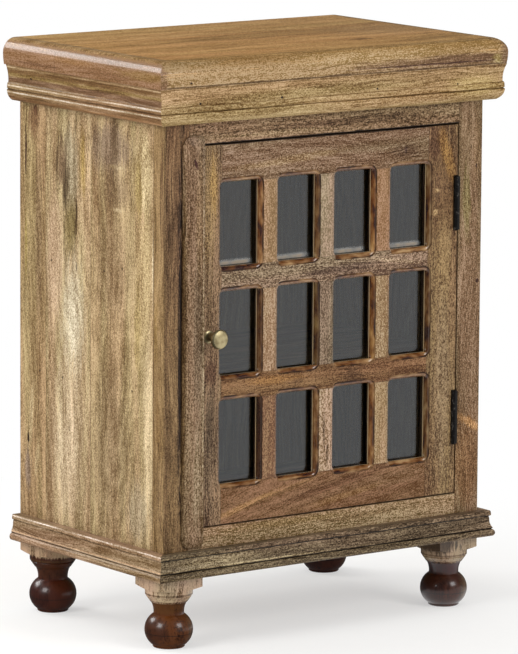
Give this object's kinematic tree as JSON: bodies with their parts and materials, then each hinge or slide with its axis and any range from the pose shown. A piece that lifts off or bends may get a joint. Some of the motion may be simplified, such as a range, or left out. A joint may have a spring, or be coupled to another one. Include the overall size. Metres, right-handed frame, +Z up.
{
  "type": "glazed side cabinet",
  "caption": "Small free-standing wooden side cabinet on turned feet, with a glazed door in small lights hinged at its right and one shelf inside.",
  "frame": {"origin": "on the floor, under the middle of the whole outline, knob included", "axes": "+X to the right along the front, seen from the front; +Y to the back; +Z up"},
  "size_m": [0.55, 0.355, 0.75],
  "materials": {
    "lacquered_wood": "satin lacquer on brown mango wood",
    "turned_wood": "gloss lacquer on turned mango wood",
    "inner_wood": "plain sealed mango wood",
    "clear_glass": "clear float glass",
    "aged_brass": "dull aged brass",
    "black_iron": "black painted iron",
    "black_screws": "blackened steel",
    "zinced_steel": "zinc plated steel",
    "brown_plastic": "matt brown plastic"
  },
  "bodies": {
    "carcass": {"back_panel": "inner_wood", "base_front": "lacquered_wood", "base_left": "lacquered_wood", "base_right": "lacquered_wood", "bottom_board": "inner_wood", "carcass_fitting_screws": "black_screws", "catch_housing": "brown_plastic", "catch_magnet": "zinced_steel", "cornice_front": "lacquered_wood", "cornice_left": "lacquered_wood", "cornice_right": "lacquered_wood", "foot_back_left": "turned_wood", "foot_back_right": "turned_wood", "foot_bolts": "zinced_steel", "foot_corner_blocks": "inner_wood", "foot_front_left": "turned_wood", "foot_front_right": "turned_wood", "frame_bottom_rail": "lacquered_wood", "frame_stile_left": "lacquered_wood", "frame_stile_right": "lacquered_wood", "frame_top_rail": "lacquered_wood", "hinge_lower_frame_leaf": "black_iron", "hinge_pins": "black_iron", "hinge_upper_frame_leaf": "black_iron", "shelf": "inner_wood", "shelf_pins": "zinced_steel", "side_panel_left": "lacquered_wood", "side_panel_right": "lacquered_wood", "stretcher_back": "inner_wood", "stretcher_front": "inner_wood", "top_screws": "zinced_steel", "top_slab": "lacquered_wood"},
    "door": {"closing_strip": "lacquered_wood", "door_bottom_rail": "lacquered_wood", "door_fitting_screws": "black_screws", "door_mid_rail_lower": "lacquered_wood", "door_mid_rail_upper": "lacquered_wood", "door_stile_left": "lacquered_wood", "door_stile_right": "lacquered_wood", "door_top_rail": "lacquered_wood", "glass_pane": "clear_glass", "glazing_bead_bottom": "lacquered_wood", "glazing_bead_left": "lacquered_wood", "glazing_bead_right": "lacquered_wood", "glazing_bead_top": "lacquered_wood", "hinge_lower_door_leaf": "black_iron", "hinge_upper_door_leaf": "black_iron", "knob": "aged_brass", "knob_screw": "zinced_steel", "muntin_1_1": "lacquered_wood", "muntin_1_2": "lacquered_wood", "muntin_1_3": "lacquered_wood", "muntin_2_1": "lacquered_wood", "muntin_2_2": "lacquered_wood", "muntin_2_3": "lacquered_wood", "muntin_3_1": "lacquered_wood", "muntin_3_2": "lacquered_wood", "muntin_3_3": "lacquered_wood", "strike_plate": "zinced_steel"}
  },
  "joints": [
    {"name": "door_hinge", "type": "hinge", "parent": "carcass", "child": "door", "pos_m": [0.2098, -0.1515, 0.39725], "axis": [0, 0, 1], "range_deg": [0, 170]}
  ]
}
